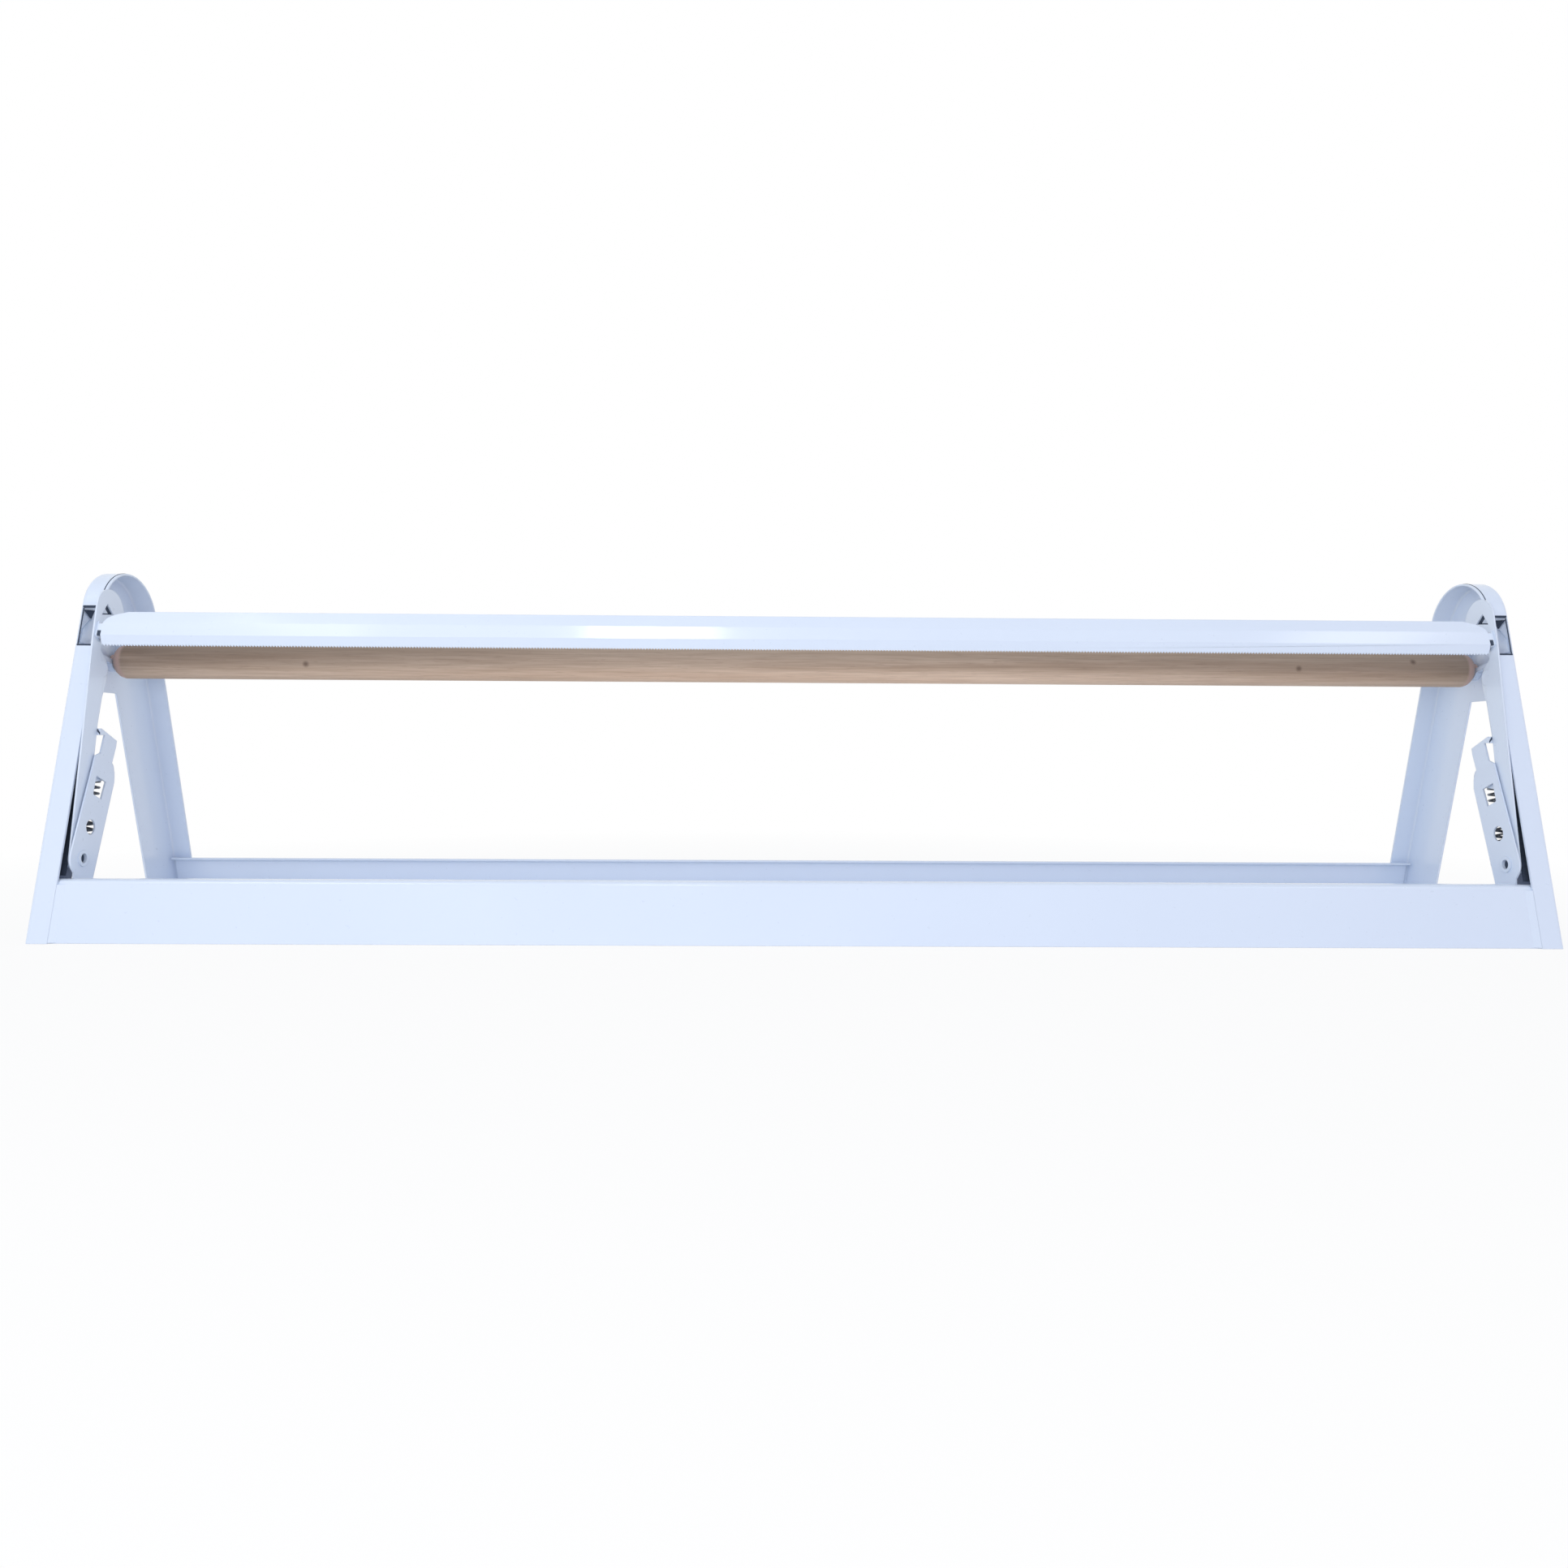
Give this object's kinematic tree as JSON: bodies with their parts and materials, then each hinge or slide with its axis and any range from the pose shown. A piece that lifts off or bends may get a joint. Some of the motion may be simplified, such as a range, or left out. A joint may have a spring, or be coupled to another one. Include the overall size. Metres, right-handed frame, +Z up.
{
  "type": "paper roll dispenser",
  "caption": "Tabletop paper roll dispenser: sheet-steel A-frame ends on base rails, a wooden roll bar and a sprung saw-edged cutter blade on swinging arms.",
  "frame": {"origin": "middle of the footprint on the table", "axes": "+X along the roll bar to the viewer's right, +Y from the blade side towards the back, +Z up"},
  "size_m": [0.99, 0.19, 0.25],
  "materials": {
    "frame_enamel": "gloss white enamel with a cold tint",
    "blade_enamel": "gloss white enamel with a cold tint",
    "plated_steel": "zinc plated",
    "spring_steel": "oiled spring wire",
    "nylon_washer": "matt",
    "turned_wood": "bare sanded hardwood"
  },
  "bodies": {
    "frame": {"left_end_frame": "frame_enamel", "right_end_frame": "frame_enamel", "front_base_rail": "frame_enamel", "rear_base_rail": "frame_enamel", "left_bar_cradle": "frame_enamel", "right_bar_cradle": "frame_enamel", "left_stop_bracket": "frame_enamel", "right_stop_bracket": "frame_enamel", "left_pivot_rivet": "frame_enamel", "right_pivot_rivet": "frame_enamel", "left_pivot_washer": "nylon_washer", "right_pivot_washer": "nylon_washer", "left_lower_stud": "plated_steel", "right_lower_stud": "plated_steel", "bracket_rivets": "plated_steel", "left_spring": "spring_steel", "right_spring": "spring_steel"},
    "blade_carrier": {"left_blade_arm": "blade_enamel", "right_blade_arm": "blade_enamel", "cutter_blade": "blade_enamel", "blade_rivets": "plated_steel", "left_upper_stud": "plated_steel", "right_upper_stud": "plated_steel"},
    "roll_bar": {"roll_bar": "turned_wood"}
  },
  "joints": [
    {"name": "blade_swing", "type": "hinge", "parent": "frame", "child": "blade_carrier", "pos_m": [0, -0.06463, 0.052], "axis": [1, 0, 0], "range_deg": [0, 22], "stiffness_Nm_per_rad": 0.5, "springref_deg": -34.38, "deforming": ["left_spring", "right_spring"]},
    {"name": "bar_spin", "type": "hinge", "parent": "frame", "child": "roll_bar", "pos_m": [0, 0, 0.1875], "axis": [1, 0, 0], "continuous": true}
  ]
}
